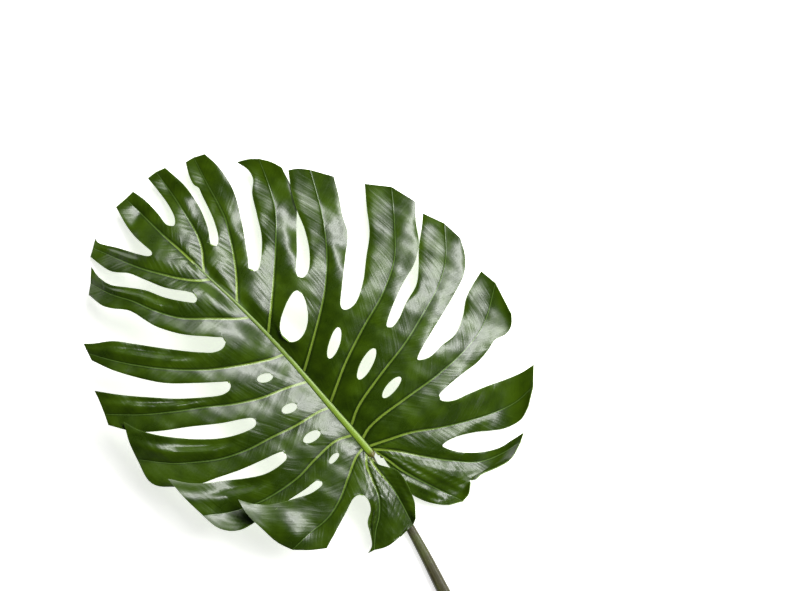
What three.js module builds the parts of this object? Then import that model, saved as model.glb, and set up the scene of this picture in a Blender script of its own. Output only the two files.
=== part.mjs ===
// A monstera leaf as picked: a perforated, slit blade with its midrib and veins, and the stalk it grew on.
// It lies on a flat surface, upper side up, on the tips of its lobes and on its stalk.
// Millimetres, +Z up, +Y from the knee, where the stalk meets the blade, towards the tip of the blade.
// Plan positions are given from the knee; the group moves them to the middle of the leaf's box.
import * as THREE from "three";

// Driving dimensions.
const BLADE_THICK = 1.0;
const FLOOR_GAP = 1.3; // lowest that the upper face comes, so that the underside stays off the surface
const FLOOR_EASE = 3.5; // how softly a lobe flattens where it meets the surface
// The dome falls off from its middle at x, y; its reach to the left grows between two heights of y.
const DOME = {
  x: 10, y: 118, high: 44, fall: 52, long: 242,
  right: 226, left: 245, leftTop: 265, leftFrom: 60, leftTo: 130,
};
// The valley along the midrib deepens from the base and fades out before the tip. It is wide on the left, and
// on the right it narrows on the way to the tip.
const VALLEY = {
  basal: 7, deep: 26, deepFrom: -60, deepTo: 110, fadeFrom: 105, fadeTo: 215,
  left: 72, rightAtBase: 52, rightAtTip: 16, narrowFrom: 90, narrowTo: 200,
};
// Towards the tip, and again below the knee, the middle of the blade leans over to the right.
const LEAN = { slope: 0.3, wide: 45, from: 105, to: 215, end: 285, gone: 345 };
const BASAL_LEAN = { slope: 0.2, from: -5, to: -50 };
const BULGES = [{ x: -118, y: -12, wide: 19, high: 11 }, { x: -182, y: 58, wide: 26, high: 11 }];
const MIDRIB = {
  line: [[-2, -10], [-1, 10], [0, 60], [1.5, 120], [1.5, 170], [0, 205], [-3, 240], [-4.5, 262]],
  halfAtBase: 4.3, halfAtEnd: 0.8, crown: 1.6, deepAtBase: 5.2, deepAtEnd: 0.8, steps: 18,
};
const SIDE_VEIN = { deepAtBase: 1.6, deepAtEnd: 0.2 };
// Each side vein runs in a fold. freeBefore and freeAfter: its slopes where the lobe is free; ease: how much
// it flattens outwards.
const FOLD = { between: 0.1, freeBefore: 0.33, freeAfter: 0.27, ease: 0.4 };
const FOLD_START = 0.12; // share of a lobe's length over which its fold starts beside the midrib
const LOOSEN = 1.8; // how quickly a lobe takes its free form past the end of a slit, and below, its roll
const ROLL_LOOSEN = 1.5;
const FALL_SHAPE = 0.7; // below 1 a falling margin falls early, above 1 a rising lobe rises late
const RISE_SHAPE = 1.6;
const EDGE_START = 0.55; // how closely rows follow each other just past the end of a slit
// The margin of a lobe rolls down most at a share of the lobe's length, between two places across it.
const ROLL_LEFT = { deep: 0.5, from: 0.42, to: 0.78, share: 0.66, long: 0.2, rest: 0.12 };
const ROLL_RIGHT = { deep: 0.2, from: 0.3, to: 1, share: 0.62, long: 0.16, rest: 0.1 };
const TIP_TURN_UP = { left: 2, right: 16, from: 0.75 };
const ROWS = 14; // steps from the midrib to a lobe's end
const ACROSS = [0, 0.2, 0.45, 0.72, 1]; // places from a vein to the lobe's edge
const LINE_SAMPLES = 200; // places looked at when a line's nearest point is wanted
const STALK = {
  // plan x, plan y, radius: the stalk lies on the surface and rises into the knee
  line: [[-3.5, -2, 4.3], [-8, -14, 4.6], [-14, -42, 4.5], [-24.5, -90, 4.9], [-33, -125, 5.8],
    [-42, -158, 6.5], [-54, -205, 7], [-65, -255, 7.3], [-73, -300, 7.5]],
  kneeHigh: 18.2, kneeRun: 76, steps: 34, sides: 16, channel: 0.16, channelRun: 80,
};

// Lobes, clockwise from the notch at the stalk.
// start: where the vein leaves the midrib (its y); side: which side of the midrib, 0 for the lobe at its end.
// vein, before, after: plan points outwards from the midrib, along the vein and along the lobe's two free
// edges, from the end of the slit to the corner. beforeEnd, afterEnd: points of the outer margin between the
// vein's end and that corner. rise raises the lobe outwards; liftBefore and liftAfter raise a margin over its
// neighbour; fallBefore and fallAfter lower one: how far, from and to which share of the lobe's length;
// rollDeep replaces the usual roll of the margin.
const LOBES = [
  // basal left, inner
  { side: -1, start: -7,
    vein: [[-8, -20], [-10, -50], [-20, -90]],
    before: [[-4.8, -14], [-3, -20], [2, -28], [6.5, -36], [6.5, -46], [3, -59], [-3, -74], [-13, -86]],
    after: [[-38, -90]], liftBefore: 6 },
  // basal left
  { side: -1, start: -3,
    vein: [[-13, -11], [-19, -26], [-26, -44], [-38, -58], [-52, -68], [-67, -82]],
    before: [[-39, -90]], beforeEnd: [[-55, -88]],
    after: [[-36, -39], [-41, -48], [-52, -56], [-58, -66], [-66, -77], [-74, -80]] },
  // left 7
  { side: -1, start: 4,
    vein: [[-16, 2], [-36, -8], [-58, -19], [-79, -24.5], [-104, -23.5], [-128, -24]],
    before: [[-39, -28], [-45, -27], [-62, -33], [-85, -41], [-100.5, -46.5]], beforeEnd: [[-115, -36]],
    after: [[-60, 5], [-74, 6], [-88, 12], [-100, 18], [-115, 27], [-126, 39], [-133.5, 52]],
    afterEnd: [[-134, -8], [-136, 14], [-137, 34]], rise: 9, liftAfter: 1, rollDeep: 0.1 },
  // left 6
  { side: -1, start: 22,
    vein: [[-20, 28.5], [-47, 29], [-73, 27], [-100, 30], [-123, 36], [-150, 48], [-172, 64]],
    before: [[-61, 11.5], [-76, 13], [-92, 15.5], [-115, 19], [-138, 24]],
    beforeEnd: [[-169, 44], [-161, 32], [-150, 26]],
    after: [[-69, 49.5], [-80, 49], [-96, 52.5], [-112, 61], [-133, 76], [-147, 86], [-160, 98], [-173, 116]],
    afterEnd: [[-173.5, 90]], rise: 8, liftAfter: 3 },
  // left 5
  { side: -1, start: 59,
    vein: [[-13, 62.5], [-40, 68], [-67, 76], [-93, 83], [-120, 95], [-143, 111], [-160, 125], [-184, 152]],
    before: [[-67, 57], [-73, 60], [-89, 65], [-113, 73], [-136, 83], [-155, 91], [-175, 106]],
    beforeEnd: [[-190, 128], [-187, 118]],
    after: [[-70, 96], [-81, 98], [-100, 107], [-120, 122], [-141, 144], [-154, 161], [-162, 175],
      [-167, 190]],
    afterEnd: [[-177, 171]], liftAfter: 5 },
  // left 4
  { side: -1, start: 94,
    vein: [[-21, 103], [-47, 113], [-73, 128], [-96, 145], [-125, 165], [-150, 184], [-177, 209]],
    before: [[-67, 103.5], [-74, 109], [-93, 120.5], [-120, 140], [-149, 160], [-165, 174], [-181.5, 198]],
    after: [[-65, 141], [-73, 142], [-88, 152], [-110, 170], [-130, 190], [-150, 211.5], [-168.5, 234]],
    afterEnd: [[-172, 222]] },
  // left 3
  { side: -1, start: 131,
    vein: [[-13, 136], [-40, 152], [-67, 171], [-91, 193], [-116, 221], [-134, 245], [-148, 267]],
    before: [[-60, 147.5], [-66, 153], [-85, 169], [-108, 190], [-126, 214], [-141, 239], [-150, 259]],
    after: [[-41, 177], [-50, 180], [-59, 188], [-80, 211], [-104, 240], [-120, 259], [-137, 271],
      [-145, 278]] },
  // left 2
  { side: -1, start: 183,
    vein: [[-9, 189], [-31, 209], [-52, 229], [-67, 253], [-77, 275], [-90, 297], [-99, 320]],
    before: [[-33, 184], [-40, 192], [-62, 216], [-76, 239], [-80, 251], [-86, 270], [-98, 284.5],
      [-104, 294],
      [-108, 312]],
    after: [[-30, 231], [-36, 237], [-50, 256], [-60, 275], [-72, 290], [-84, 305], [-88, 320], [-87, 333]] },
  // left 1
  { side: -1, start: 239,
    vein: [[-13, 245.5], [-25, 259], [-36, 275], [-48, 294], [-61, 320], [-73, 346]],
    before: [[-24.5, 237], [-28, 244], [-43, 263], [-52, 281], [-61, 299.5], [-74, 314], [-79, 330],
      [-81, 341]],
    after: [[-34, 299], [-41, 308], [-53, 328], [-65, 347], [-64, 352]] },
  // tip
  { side: 0, start: 262,
    vein: [[-6, 280], [-9, 305], [-11, 330], [-13, 359.5]],
    before: [[-29, 301], [-30, 309], [-32, 325], [-31, 340], [-26, 360]],
    after: [[1, 311], [1.5, 325], [1, 345], [-2, 360]] },
  // right 1
  { side: 1, start: 249,
    vein: [[1, 254], [11, 268], [17, 282], [21, 300], [25, 325], [29, 359]],
    before: [[11, 310], [15, 323], [17, 340], [18.5, 360]],
    after: [[21, 263.5], [30, 280], [38, 303], [41.5, 330], [39, 356]],
    fallBefore: [3, 0.15, 0.4] },
  // right 2
  { side: 1, start: 203,
    vein: [[17, 221], [29, 238], [39, 255], [49, 274], [54, 290], [60, 315], [68, 344]],
    before: [[29, 262], [39, 280], [48, 310], [50.5, 318], [49, 323.5], [52, 334], [58.5, 346]],
    after: [[33.5, 219], [40, 229], [60, 261], [75, 290], [80, 312], [80.5, 325], [79, 339]],
    fallBefore: [5, 0.2, 0.5] },
  // right 3
  { side: 1, start: 158,
    vein: [[21, 173], [50, 200], [75, 225], [91, 243], [104, 266], [117, 297.5]],
    before: [[40, 213], [48, 218], [65, 236], [77, 257], [88, 276.5], [98, 286], [101, 296], [98, 310]],
    beforeEnd: [[108, 305]],
    after: [[68, 186], [80, 198], [98, 219], [112, 234], [121, 250], [128.5, 275]],
    afterEnd: [[124, 287]], fallBefore: [6, 0.3, 0.55], fallAfter: [5, 0.35, 0.6] },
  // right 4
  { side: 1, start: 104,
    vein: [[21, 114], [57, 137], [76, 151], [100, 174], [119, 199], [133, 223], [148.5, 253.5]],
    before: [[69, 175.5], [77, 177], [91, 191], [103, 212], [110, 231], [120, 251], [131.5, 268.5]],
    beforeEnd: [[140, 263]],
    after: [[78, 128.5], [91, 141], [117, 164], [133, 178.5], [142, 197], [152, 213], [162, 232]],
    liftBefore: 2, fallBefore: [8, 0.4, 0.65], fallAfter: [7, 0.6, 0.85] },
  // right 5
  { side: 1, start: 62,
    vein: [[21, 71], [41, 81], [80, 96], [117, 108], [150, 126], [171, 148], [199, 184]],
    before: [[81, 120.5], [91, 120], [110, 130], [130, 147], [150, 164], [166, 186], [180.5, 205]],
    after: [[103, 84.5], [121, 94], [143, 103], [162, 109], [179, 120], [194, 141], [207, 156]],
    fallBefore: [11, 0.5, 0.75], fallAfter: [6, 0.75, 1] },
  // right 6
  { side: 1, start: 30,
    vein: [[21, 39], [60, 48], [100, 55], [135, 65], [164, 75], [189, 90], [214, 119]],
    before: [[102, 76.5], [113, 78], [129, 85], [150, 92], [164, 104], [177, 118], [194, 132], [204.5, 142]],
    after: [[103, 37], [124, 44], [143, 49.5], [171, 58], [194, 67], [208, 81], [216, 97]],
    fallBefore: [11, 0.58, 0.84], fallAfter: [5, 0.75, 1] },
  // right 7
  { side: 1, start: 12,
    vein: [[12, 15], [28, 16], [64, 12.5], [108, 8], [150, 9], [179, 17], [211.5, 38]],
    before: [[102, 31], [110, 27.5], [126, 28], [145, 27], [163, 35], [178, 46.5], [193, 52.5], [209, 57]],
    after: [[91, -8], [99, -7], [123, -8], [143, -10], [160, -8], [172, -5], [184, -8.5], [194, -6],
      [202, 3]],
    fallBefore: [11, 0.58, 0.84], fallAfter: [5, 0.75, 1] },
  // right 8
  { side: 1, start: 1,
    vein: [[18, -5.5], [43, -17], [71, -35.5], [100, -51.5], [123, -62], [145, -68], [168, -67.5]],
    before: [[91, -17], [98, -22.5], [114, -28], [133, -35], [154, -44], [170, -49], [184, -51]],
    after: [[63, -49], [76, -53], [93, -63], [106, -73], [118, -80.5], [136, -84.5], [151, -79]] },
  // right 9
  { side: 1, start: -4,
    vein: [[9, -10], [19, -21], [37, -46], [57, -71], [74, -88], [95, -97], [120, -101]],
    before: [[59, -54], [67, -67], [82, -81.5], [100, -91.5], [115, -94], [129, -96]],
    after: [[56, -96.5], [60, -98]], afterEnd: [[101, -107], [82, -103], [68, -98]] },
  // basal right
  { side: 1, start: -7.5,
    vein: [[6, -20], [10, -40], [18, -64], [27, -88], [35, -106]],
    before: [[54, -96.5], [50, -100]], beforeEnd: [[44, -104.5]],
    after: [[4.5, -17], [3, -27], [3.5, -45], [0, -62], [5, -79], [12, -90], [22, -99]] },
];

// Slits, each between a lobe and the next.
// end: the inner end of the slit. hole: the opening on its line nearer the midrib, its centre, half length,
// half width, and how much fuller the end nearer the midrib is.
const SLITS = [
  { end: [-38, -89.2] },
  { end: [-36, -32] },
  { end: [-58.5, 8], hole: { at: [-33, 17], long: 7, wide: 3.2 } },
  { end: [-66.5, 53.5], hole: { at: [-35, 48.5], long: 10, wide: 5.2 } },
  { end: [-66.5, 99.5], hole: { at: [-32.5, 85.5], long: 8.5, wide: 4.8 } },
  { end: [-60.5, 144], hole: { at: [-30, 125.5], long: 8.5, wide: 4.6 } },
  { end: [-34, 180] },
  { end: [-26, 232.5] },
  { end: [-30.5, 298] },
  { end: [6, 305.5] },
  { end: [24, 260] },
  { end: [35.5, 214.5] },
  { end: [65.5, 179.5], hole: { at: [35.5, 151.5], long: 27, wide: 13.5, full: 0.25 } },
  { end: [77, 124], hole: { at: [47, 104], long: 17, wide: 5.5 } },
  { end: [98.5, 80.5], hole: { at: [57, 66], long: 18, wide: 6 } },
  { end: [99, 34], hole: { at: [60, 31], long: 14, wide: 5 } },
  { end: [88.5, -12] },
  { end: [58, -49.5] },
  { end: [54, -95] },
];

const V = (p) => new THREE.Vector2(p[0], p[1]);
const mix = (a, b, t) => new THREE.Vector2().lerpVectors(a, b, t);
const { lerp, smoothstep, clamp } = THREE.MathUtils;
const ease = (t) => smoothstep(t, 0, 1);

// A smooth plan line through points, read by its length: at(0) is its start and at(1) its end.
function lineThrough(points) {
  const places = points.map((p) => new THREE.Vector3(p.x, p.y, 0));
  const curve = new THREE.CatmullRomCurve3(places, false, "centripetal");
  curve.arcLengthDivisions = LINE_SAMPLES;
  const at = (t) => {
    const p = curve.getPointAt(clamp(t, 0, 1));
    return new THREE.Vector2(p.x, p.y);
  };
  const samples = Array.from({ length: LINE_SAMPLES + 1 }, (_, i) => at(i / LINE_SAMPLES));
  // How far the line passes from a point, and the share of its length where it is nearest.
  const off = (q) => Math.min(...samples.map((p) => p.distanceTo(q)));
  const nearest = (q) => samples.findIndex((p) => p.distanceTo(q) === off(q)) / LINE_SAMPLES;
  return { at, off, nearest, samples, length: curve.getLength() };
}

// The midrib.
const midribLine = lineThrough(MIDRIB.line.map(V));
const RIB_BASE = MIDRIB.line[0][1];
const RIB_END = MIDRIB.line[MIDRIB.line.length - 1][1];

function midribX(y) {
  const { samples } = midribLine;
  const reached = samples.findIndex((p) => p.y >= y);
  const i = reached < 0 ? samples.length - 1 : Math.max(1, reached);
  const [a, b] = [samples[i - 1], samples[i]];
  return a.x + ((b.x - a.x) * (y - a.y)) / (b.y - a.y);
}
const alongRib = (y) => clamp((y - RIB_BASE) / (RIB_END - RIB_BASE), 0, 1);
const ribHalf = (y) => lerp(MIDRIB.halfAtBase, MIDRIB.halfAtEnd, alongRib(y));
const ribSide = (side, y) => new THREE.Vector2(midribX(Math.min(y, RIB_END)) + side * ribHalf(y), y);
const ribEndPoint = V(MIDRIB.line[MIDRIB.line.length - 1]);

// The blade's form, as heights of its upper face.
function domeHeight(p) {
  const leftReach = lerp(DOME.left, DOME.leftTop, smoothstep(p.y, DOME.leftFrom, DOME.leftTo));
  const reach = p.x > DOME.x ? DOME.right : leftReach;
  const r2 = ((p.x - DOME.x) / reach) ** 2 + ((p.y - DOME.y) / DOME.long) ** 2;
  const x = p.x - midribX(clamp(p.y, RIB_BASE, RIB_END));
  const fade = 1 - smoothstep(p.y, VALLEY.fadeFrom, VALLEY.fadeTo);
  const deep = lerp(VALLEY.basal, VALLEY.deep, smoothstep(p.y, VALLEY.deepFrom, VALLEY.deepTo)) * fade;
  const narrow = smoothstep(p.y, VALLEY.narrowFrom, VALLEY.narrowTo);
  const wide = x < 0 ? VALLEY.left : lerp(VALLEY.rightAtBase, VALLEY.rightAtTip, narrow);
  const leanEnds = 1 - smoothstep(p.y, LEAN.end, LEAN.gone);
  const leanAbove = LEAN.slope * smoothstep(p.y, LEAN.from, LEAN.to) * leanEnds;
  const leanBelow = BASAL_LEAN.slope * smoothstep(-p.y, -BASAL_LEAN.from, -BASAL_LEAN.to);
  const leant = (leanAbove + leanBelow) * LEAN.wide * Math.tanh(x / LEAN.wide);
  const bulged = BULGES.map((b) => b.high * Math.exp(-((p.x - b.x) ** 2 + (p.y - b.y) ** 2) / b.wide ** 2))
    .reduce((sum, high) => sum + high);
  return DOME.high - DOME.fall * r2 * r2 - deep * Math.exp(-Math.abs(x) / wide) - leant + bulged;
}
// Lays a height down on the surface: high up it changes nothing, low down it eases to the gap.
const laidDown = (z) => FLOOR_GAP + FLOOR_EASE * Math.log1p(Math.exp((z - FLOOR_GAP) / FLOOR_EASE));

// Lines between the lobes.
const veins = LOBES.map((lobe) => {
  const from = lobe.side === 0 ? ribEndPoint : ribSide(lobe.side, lobe.start);
  return lineThrough([from, ...lobe.vein.map(V)]);
});

// The two lines of a slit: from the midrib to its end they are one, apart at a hole, then the two free edges.
function slitRows(k) {
  const [a, b, slit] = [LOBES[k], LOBES[k + 1], SLITS[k]];
  const side = a.side || b.side;
  const root = ribSide(side, (a.start + b.start) / 2);
  const end = V(slit.end);
  const shared = lineThrough(slit.hole ? [root, V(slit.hole.at), end] : [root, end]);
  const rowsIn = Math.round((ROWS * (veins[k].nearest(end) + veins[k + 1].nearest(end))) / 2);
  const edge = lineThrough([...a.after.map(V).reverse(), end, ...b.before.map(V)]);
  const split = edge.nearest(end);
  const rows = [];
  for (let j = 0; j <= ROWS; j++) {
    if (j > rowsIn) {
      const t = (j - rowsIn) / (ROWS - rowsIn);
      const eased = t * (EDGE_START + (1 - EDGE_START) * t);
      rows.push({ a: edge.at(split * (1 - eased)), b: edge.at(split + (1 - split) * eased) });
      continue;
    }
    const { t, open, across } = placeOnShared(j, rowsIn, shared, slit.hole);
    const middle = shared.at(t);
    rows.push({
      a: middle.clone().addScaledVector(across, -open),
      b: middle.clone().addScaledVector(across, open),
      middle,
    });
  }
  return { rows, rowsIn };
}

// Where row j falls on the shared line, how far the line is open there and the direction it opens in.
function placeOnShared(j, rowsIn, shared, hole) {
  const across = new THREE.Vector2();
  if (!hole) return { t: j / rowsIn, open: 0, across };
  const half = hole.long / shared.length;
  const middle = shared.nearest(V(hole.at));
  const holeRows = rowsIn - 2;
  if (j <= 1 || j >= 1 + holeRows) {
    const places = { 0: 0, 1: middle - half, [rowsIn]: 1 };
    return { t: places[j] ?? middle + half, open: 0, across };
  }
  const around = -Math.cos((Math.PI * (j - 1)) / holeRows);
  const t = middle + half * around;
  const along = shared.at(t + 0.01).sub(shared.at(t - 0.01)).normalize();
  across.set(along.y, -along.x);
  return { t, open: hole.wide * Math.sqrt(1 - around * around) * (1 - (hole.full || 0) * around), across };
}

const slits = SLITS.map((_, k) => slitRows(k));

// The open margins of the notch at the stalk, which the first and last lobes have in place of a slit.
function notchRows(lobe, points) {
  const edge = lineThrough([ribSide(lobe.side, RIB_BASE), ...points.map(V)]);
  return { rows: Array.from({ length: ROWS + 1 }, (_, j) => ({ only: edge.at(j / ROWS) })), rowsIn: 0 };
}
const notchLeft = notchRows(LOBES[0], LOBES[0].before);
const notchRight = notchRows(LOBES[LOBES.length - 1], LOBES[LOBES.length - 1].after);

// One half of a lobe: rows of points on the upper face, from its vein to its edge.
function halfLobe(i, before) {
  const lobe = LOBES[i];
  const vein = veins[i];
  const sides = [notchLeft, ...slits, notchRight].slice(i, i + 2);
  const slit = before ? sides[0] : sides[1];
  const outFrom = Math.max(sides[0].rowsIn, sides[1].rowsIn);
  const neighbour = before ? veins[i - 1] : veins[i + 1];
  const edgeOf = (row) => row.only || (before ? row.b : row.a);
  const endPoints = (before ? lobe.beforeEnd : lobe.afterEnd) || [];
  const corner = edgeOf(slit.rows[ROWS]);
  const margin = lineThrough([vein.at(1), ...endPoints.map(V), corner]);
  const apart = (j) => vein.at(j / ROWS).distanceTo(neighbour.at(j / ROWS));
  // Past the slit's end the folds go on as if the two lobes were still one.
  const foldWidth = (j) => {
    if (!neighbour) return vein.off(edgeOf(slit.rows[j]));
    if (j <= slit.rowsIn) return vein.off(slit.rows[j].middle);
    return (vein.off(slit.rows[slit.rowsIn].middle) * apart(j)) / apart(slit.rowsIn);
  };
  const grid = [];
  for (let j = 0; j <= ROWS; j++) {
    const s = j / ROWS;
    const onVein = vein.at(s);
    const onEdge = edgeOf(slit.rows[j]);
    const half = Math.max(1e-3, foldWidth(j));
    const between = neighbour ? FOLD.between * apart(j) : 0;
    const free = Math.max(0, (j - slit.rowsIn) / (ROWS - slit.rowsIn));
    const out = Math.max(0, (j - outFrom) / (ROWS - outFrom));
    grid.push(ACROSS.map((u) => {
      const bulge = margin.at(u).sub(mix(vein.at(1), corner, u)).multiplyScalar(s ** 3);
      const p = mix(onVein, onEdge, u).add(bulge);
      const across = u === 0 ? 0 : vein.off(p);
      const v = Math.min(1, across / half);
      const place = { s, u, v, free, out, across, between, width: vein.off(onEdge) };
      const { folded, raised } = folds(lobe, before, place);
      const top = laidDown(domeHeight(p) + folded) + raised;
      const rib = u === 0 ? lerp(SIDE_VEIN.deepAtBase, SIDE_VEIN.deepAtEnd, s) : 0;
      return { x: p.x, y: p.y, top, bottom: Math.max(0.1, top - BLADE_THICK - rib) };
    }));
  }
  return { grid, slit, before };
}

// How far a lobe's folds, rolls and falls put the blade off its dome, and how far it is raised off the
// surface. s is the share along the lobe, u across it, v across the fold; free the share of this side's free
// length, and out that of the length where both sides are free.
function folds(lobe, before, { s, u, v, free, out, across, between, width }) {
  const loose = ease(LOOSEN * free);
  const roll = lobe.side < 0 ? ROLL_LEFT : ROLL_RIGHT;
  const rollShare = roll.rest + (1 - roll.rest) * Math.exp(-(((s - roll.share) / roll.long) ** 2));
  const rolling = rollShare * ease(ROLL_LOOSEN * free) * smoothstep(u, roll.from, roll.to);
  const rolled = before ? 0 : rolling * (lobe.rollDeep ?? roll.deep) * width;
  const slope = before ? FOLD.freeBefore : FOLD.freeAfter;
  const inner = between * Math.sin((Math.PI / 2) * v);
  const outer = slope * across * (1 - FOLD.ease * v) - rolled;
  const folded = ease(s / FOLD_START) * ((1 - loose) * inner + loose * outer);
  const [deep, from, to] = (before ? lobe.fallBefore : lobe.fallAfter) || [0, 0, 1];
  const fallen = deep * smoothstep(s, from, to) * u ** FALL_SHAPE * loose;
  const lift = (before ? lobe.liftBefore : lobe.liftAfter) || 0;
  const turnUp = lobe.side < 0 ? TIP_TURN_UP.left : TIP_TURN_UP.right;
  const turned = turnUp * Math.max(0, (s - TIP_TURN_UP.from) / (1 - TIP_TURN_UP.from)) ** 2;
  const raised = lift * Math.sin((Math.PI / 2) * free) * u + (lobe.rise || 0) * out ** RISE_SHAPE + turned;
  return { folded: folded - fallen, raised };
}

// Mesh helpers: triangles are pushed as corner points.
const corners = [];
const topOf = (p) => [p.x, p.y, p.top];
const underOf = (p) => [p.x, p.y, p.bottom];
const triangle = (a, b, c) => corners.push(...a, ...b, ...c);
// A patch of both faces between four points that run anticlockwise seen from above.
function patch(a, b, c, d) {
  triangle(topOf(a), topOf(b), topOf(c));
  triangle(topOf(a), topOf(c), topOf(d));
  triangle(underOf(a), underOf(c), underOf(b));
  triangle(underOf(a), underOf(d), underOf(c));
}
// The wall under an open edge from a to b, with the blade on its left.
function wall(a, b) {
  triangle(topOf(a), underOf(a), underOf(b));
  triangle(topOf(a), underOf(b), topOf(b));
}

const same = (p, q) => Math.hypot(p.x - q.x, p.y - q.y) < 1e-6;

// A vein's points belong to both halves of its lobe, so the second half takes them from the first.
function addLobe(i) {
  const halves = [halfLobe(i, true), halfLobe(i, false)];
  halves[1].grid.forEach((row, j) => { row[0] = halves[0].grid[j][0]; });
  for (const { grid, slit, before } of halves) {
    for (let j = 0; j < ROWS; j++) {
      for (let c = 0; c + 1 < ACROSS.length; c++) {
        const [a, b, d, e] = [grid[j][c], grid[j][c + 1], grid[j + 1][c + 1], grid[j + 1][c]];
        if (before) patch(a, e, d, b);
        else patch(a, b, d, e);
      }
      const edge = (row) => row[ACROSS.length - 1];
      const isOpen = (r) => r.only || !same(r.a, r.b);
      if (isOpen(slit.rows[j]) || isOpen(slit.rows[j + 1])) {
        if (before) wall(edge(grid[j + 1]), edge(grid[j]));
        else wall(edge(grid[j]), edge(grid[j + 1]));
      }
    }
    for (let c = 0; c + 1 < ACROSS.length; c++) {
      if (before) wall(grid[ROWS][c], grid[ROWS][c + 1]);
      else wall(grid[ROWS][c + 1], grid[ROWS][c]);
    }
  }
  return halves;
}

// Fills the strip between two chains of points that both run towards the tip, left one first.
function zip(left, right) {
  let [i, j] = [0, 0];
  while (i + 1 < left.length || j + 1 < right.length) {
    const goLeft = j + 1 === right.length || (i + 1 < left.length && left[i + 1].y <= right[j + 1].y);
    const [a, b, c] = [left[i], right[j], goLeft ? left[i + 1] : right[j + 1]];
    if (c !== a && c !== b) {
      triangle(topOf(a), topOf(b), topOf(c));
      triangle(underOf(a), underOf(c), underOf(b));
    }
    if (goLeft) i += 1;
    else j += 1;
  }
}

function bladeGeometry() {
  const lobes = LOBES.map((_, i) => addLobe(i));
  const tip = LOBES.findIndex((lobe) => lobe.side === 0);
  const inward = (half) => half.grid[0].slice().reverse();
  const outward = (half) => half.grid[0].slice();
  const chain = (parts) => parts.flat().filter((p, i, all) => i === 0 || !same(p, all[i - 1]));
  const left = chain(lobes.slice(0, tip).flatMap(([b, a]) => [inward(b), outward(a)])
    .concat([inward(lobes[tip][0])]));
  const right = chain(lobes.slice(tip + 1).reverse().flatMap(([b, a]) => [inward(a), outward(b)])
    .concat([inward(lobes[tip][1])]));
  const crown = [];
  for (let i = 0; i < MIDRIB.steps; i++) {
    const p = midribLine.at(i / MIDRIB.steps);
    const t = alongRib(p.y);
    const z = laidDown(domeHeight(p));
    crown.push({
      x: p.x, y: p.y, top: z + MIDRIB.crown * (1 - t),
      bottom: z - BLADE_THICK - lerp(MIDRIB.deepAtBase, MIDRIB.deepAtEnd, t),
    });
  }
  crown.push(left[left.length - 1]);
  right[right.length - 1] = left[left.length - 1];
  zip(left, crown);
  zip(crown, right);
  wall(left[0], crown[0]);
  wall(crown[0], right[0]);
  return new THREE.BufferGeometry().setAttribute("position", new THREE.Float32BufferAttribute(corners, 3));
}

// The stalk: rounded below, with a shallow channel along its upper side.
function stalkGeometry() {
  const places = STALK.line.map(([x, y, radius]) => new THREE.Vector3(x, y, radius));
  const plan = new THREE.CatmullRomCurve3(places, false, "centripetal");
  const rings = [];
  for (let i = 0; i <= STALK.steps; i++) {
    const p = plan.getPointAt(i / STALK.steps);
    const radius = p.z;
    const run = Math.hypot(p.x - STALK.line[0][0], p.y - STALK.line[0][1]);
    const rise = 1 - ease(run / STALK.kneeRun);
    const centre = new THREE.Vector3(p.x, p.y, lerp(radius, STALK.kneeHigh, rise));
    rings.push({ centre, radius, run });
  }
  const ringPoints = rings.map(({ centre, radius, run }, i) => {
    const ahead = rings[Math.min(i + 1, STALK.steps)].centre;
    const behind = rings[Math.max(i - 1, 0)].centre;
    const along = ahead.clone().sub(behind).normalize();
    const sideways = new THREE.Vector3(-along.y, along.x, 0).normalize();
    const up = new THREE.Vector3().crossVectors(along, sideways);
    if (up.z < 0) up.negate();
    const channel = STALK.channel * ease(run / STALK.channelRun);
    return Array.from({ length: STALK.sides }, (_, k) => {
      const angle = (2 * Math.PI * k) / STALK.sides;
      const groove = 1 - channel * Math.max(0, Math.cos(angle)) ** 6;
      return centre.clone()
        .addScaledVector(sideways, radius * Math.sin(angle))
        .addScaledVector(up, radius * groove * Math.cos(angle));
    });
  });
  const out = [];
  const push = (...points) => points.forEach((p) => out.push(p.x, p.y, Math.max(0, p.z)));
  const n = STALK.sides;
  for (let i = 0; i < STALK.steps; i++) {
    for (let k = 0; k < n; k++) {
      const [a, b] = [ringPoints[i][k], ringPoints[i][(k + 1) % n]];
      const [c, d] = [ringPoints[i + 1][(k + 1) % n], ringPoints[i + 1][k]];
      push(a, c, b);
      push(a, d, c);
    }
  }
  for (let k = 0; k < n; k++) {
    push(rings[0].centre, ringPoints[0][k], ringPoints[0][(k + 1) % n]);
    push(rings[STALK.steps].centre, ringPoints[STALK.steps][(k + 1) % n], ringPoints[STALK.steps][k]);
  }
  return new THREE.BufferGeometry().setAttribute("position", new THREE.Float32BufferAttribute(out, 3));
}

function named(name, geometry, color, roughness) {
  geometry.computeVertexNormals();
  const mesh = new THREE.Mesh(geometry, new THREE.MeshStandardMaterial({ color, roughness, metalness: 0 }));
  mesh.name = name;
  return mesh;
}

const leaf = new THREE.Group();
leaf.add(named("leaf_blade", bladeGeometry(), 0x31500a, 0.35));
leaf.add(named("leaf_stalk", stalkGeometry(), 0x4c5a30, 0.55));

// The frame's origin is under the middle of the leaf's box.
const box = new THREE.Box3().setFromObject(leaf);
leaf.position.set(-(box.min.x + box.max.x) / 2, -(box.min.y + box.max.y) / 2, -box.min.z);

export default leaf;
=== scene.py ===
import math

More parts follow.
